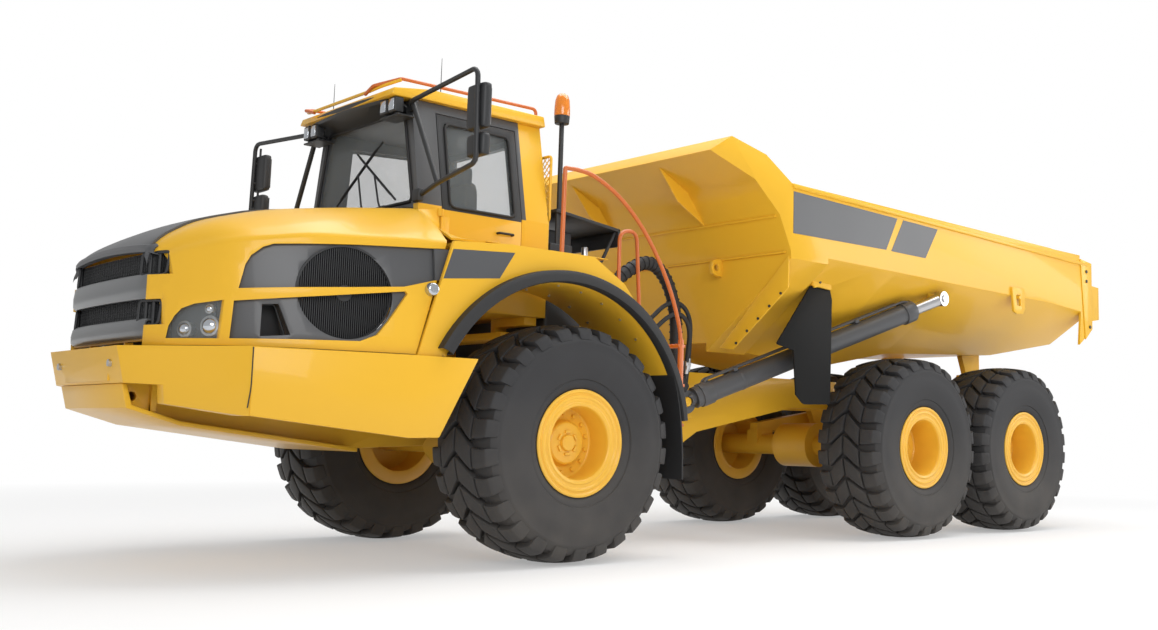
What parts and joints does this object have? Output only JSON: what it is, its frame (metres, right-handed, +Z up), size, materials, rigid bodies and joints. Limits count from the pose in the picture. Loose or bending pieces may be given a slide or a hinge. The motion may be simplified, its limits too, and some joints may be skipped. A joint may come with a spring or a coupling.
{
  "type": "articulated dump truck",
  "caption": "Articulated dump truck: a cab unit and a rear unit with a tipping body, joined by a pivot that steers, on large lugged tyres.",
  "frame": {"origin": "on the ground, in the middle of the overall length and width", "axes": "+X forward, +Y to the driver's left, +Z up"},
  "size_m": [11.26, 3.672, 3.92],
  "materials": {
    "yellow_paint": "gloss",
    "rim_paint": "satin",
    "grey_paint": "satin",
    "dark_plastic": "matt",
    "black_rubber": "matt",
    "orange_paint": "gloss",
    "steel": "brushed",
    "window_glass": "clear",
    "lamp_glass": "clear",
    "beacon_amber": "gloss",
    "tyre_rubber": "matt"
  },
  "bodies": {
    "front_unit": {"front_frame": "yellow_paint", "engine_block": "grey_paint", "front_axle": "yellow_paint", "front_suspension": "steel", "bumper": "yellow_paint", "side_skirts": "yellow_paint", "fenders": "yellow_paint", "fender_flares": "black_rubber", "cab_shell": "yellow_paint", "cab_roof": "yellow_paint", "cab_glass": "window_glass", "cab_interior": "dark_plastic", "roof_rails": "orange_paint", "mirrors": "dark_plastic", "work_lights": "dark_plastic", "access_ladder": "orange_paint", "exhaust_stack": "dark_plastic", "beacon_mast": "beacon_amber", "rear_deck": "dark_plastic"},
    "hood": {"hood_shell": "yellow_paint", "hood_centre": "dark_plastic", "front_grille": "dark_plastic", "side_grilles": "dark_plastic", "headlamps": "lamp_glass"},
    "door": {"door_frame": "dark_plastic", "door_glass": "window_glass"},
    "hitch_body": {"hitch": "yellow_paint"},
    "rear_unit": {"rear_frame": "yellow_paint", "bogie_axles": "yellow_paint", "bogie_beams": "yellow_paint", "tail_lamps": "lamp_glass"},
    "dump_bed": {"dump_body": "yellow_paint", "body_mudflaps": "black_rubber"},
    "barrel_left": {"hoist_barrel_left": "grey_paint"},
    "rod_left": {"hoist_rod_left": "steel"},
    "barrel_right": {"hoist_barrel_right": "grey_paint"},
    "rod_right": {"hoist_rod_right": "steel"},
    "wheel_front_left": {"tyre_front_left": "tyre_rubber", "rim_front_left": "rim_paint"},
    "wheel_front_right": {"tyre_front_right": "tyre_rubber", "rim_front_right": "rim_paint"},
    "wheel_middle_left": {"tyre_middle_left": "tyre_rubber", "rim_middle_left": "rim_paint"},
    "wheel_middle_right": {"tyre_middle_right": "tyre_rubber", "rim_middle_right": "rim_paint"},
    "wheel_rear_left": {"tyre_rear_left": "tyre_rubber", "rim_rear_left": "rim_paint"},
    "wheel_rear_right": {"tyre_rear_right": "tyre_rubber", "rim_rear_right": "rim_paint"}
  },
  "joints": [
    {"name": "hood_lift", "type": "hinge", "parent": "front_unit", "child": "hood", "pos_m": [5.435, 0, 1.54], "axis": [0, 1, 0], "range_deg": [0, 70]},
    {"name": "door_swing", "type": "hinge", "parent": "front_unit", "child": "door", "pos_m": [3.365, 0.886, 2.58], "axis": [0, 0, -1], "range_deg": [0, 80]},
    {"name": "steering", "type": "hinge", "parent": "front_unit", "child": "hitch_body", "pos_m": [1.253, 0, 1.14], "axis": [0, 0, 1], "range_deg": [-45, 45]},
    {"name": "hitch_roll", "type": "hinge", "parent": "hitch_body", "child": "rear_unit", "pos_m": [0.83, 0, 1.14], "axis": [1, 0, 0], "range_deg": [-8, 8]},
    {"name": "tip", "type": "hinge", "parent": "rear_unit", "child": "dump_bed", "pos_m": [-4.47, 0, 1.75], "axis": [0, -1, 0], "range_deg": [0, 70]},
    {"name": "barrel_left_swing", "type": "hinge", "parent": "rear_unit", "child": "barrel_left", "pos_m": [0.586, 0.75, 1.312], "axis": [0.4462, 0.6527, 0.6122], "range_deg": [0, 9.31]},
    {"name": "rod_left_slide", "type": "slide", "parent": "barrel_left", "child": "rod_left", "axis": [-0.892, 0.2695, 0.3628], "range_m": [0, 2.5246]},
    {"name": "barrel_right_swing", "type": "hinge", "parent": "rear_unit", "child": "barrel_right", "pos_m": [0.586, -0.75, 1.312], "axis": [-0.4462, 0.6527, -0.6122], "range_deg": [0, 9.31]},
    {"name": "rod_right_slide", "type": "slide", "parent": "barrel_right", "child": "rod_right", "axis": [-0.892, -0.2695, 0.3628], "range_m": [0, 2.5246]},
    {"name": "wheel_front_left_spin", "type": "hinge", "parent": "front_unit", "child": "wheel_front_left", "pos_m": [2.53, 1.318, 0.925], "axis": [0, 1, 0], "continuous": true},
    {"name": "wheel_front_right_spin", "type": "hinge", "parent": "front_unit", "child": "wheel_front_right", "pos_m": [2.53, -1.318, 0.925], "axis": [0, 1, 0], "continuous": true},
    {"name": "wheel_middle_left_spin", "type": "hinge", "parent": "rear_unit", "child": "wheel_middle_left", "pos_m": [-1.971, 1.318, 0.925], "axis": [0, 1, 0], "continuous": true},
    {"name": "wheel_middle_right_spin", "type": "hinge", "parent": "rear_unit", "child": "wheel_middle_right", "pos_m": [-1.971, -1.318, 0.925], "axis": [0, 1, 0], "continuous": true},
    {"name": "wheel_rear_left_spin", "type": "hinge", "parent": "rear_unit", "child": "wheel_rear_left", "pos_m": [-3.901, 1.318, 0.925], "axis": [0, 1, 0], "continuous": true},
    {"name": "wheel_rear_right_spin", "type": "hinge", "parent": "rear_unit", "child": "wheel_rear_right", "pos_m": [-3.901, -1.318, 0.925], "axis": [0, 1, 0], "continuous": true}
  ],
  "couplings": [
    {"joint": "barrel_left_swing", "follows": "tip", "ratio": 0.13276},
    {"joint": "rod_left_slide", "follows": "tip", "m_per_rad": 2.0656},
    {"joint": "barrel_right_swing", "follows": "tip", "ratio": 0.13276},
    {"joint": "rod_right_slide", "follows": "tip", "m_per_rad": 2.0656}
  ]
}
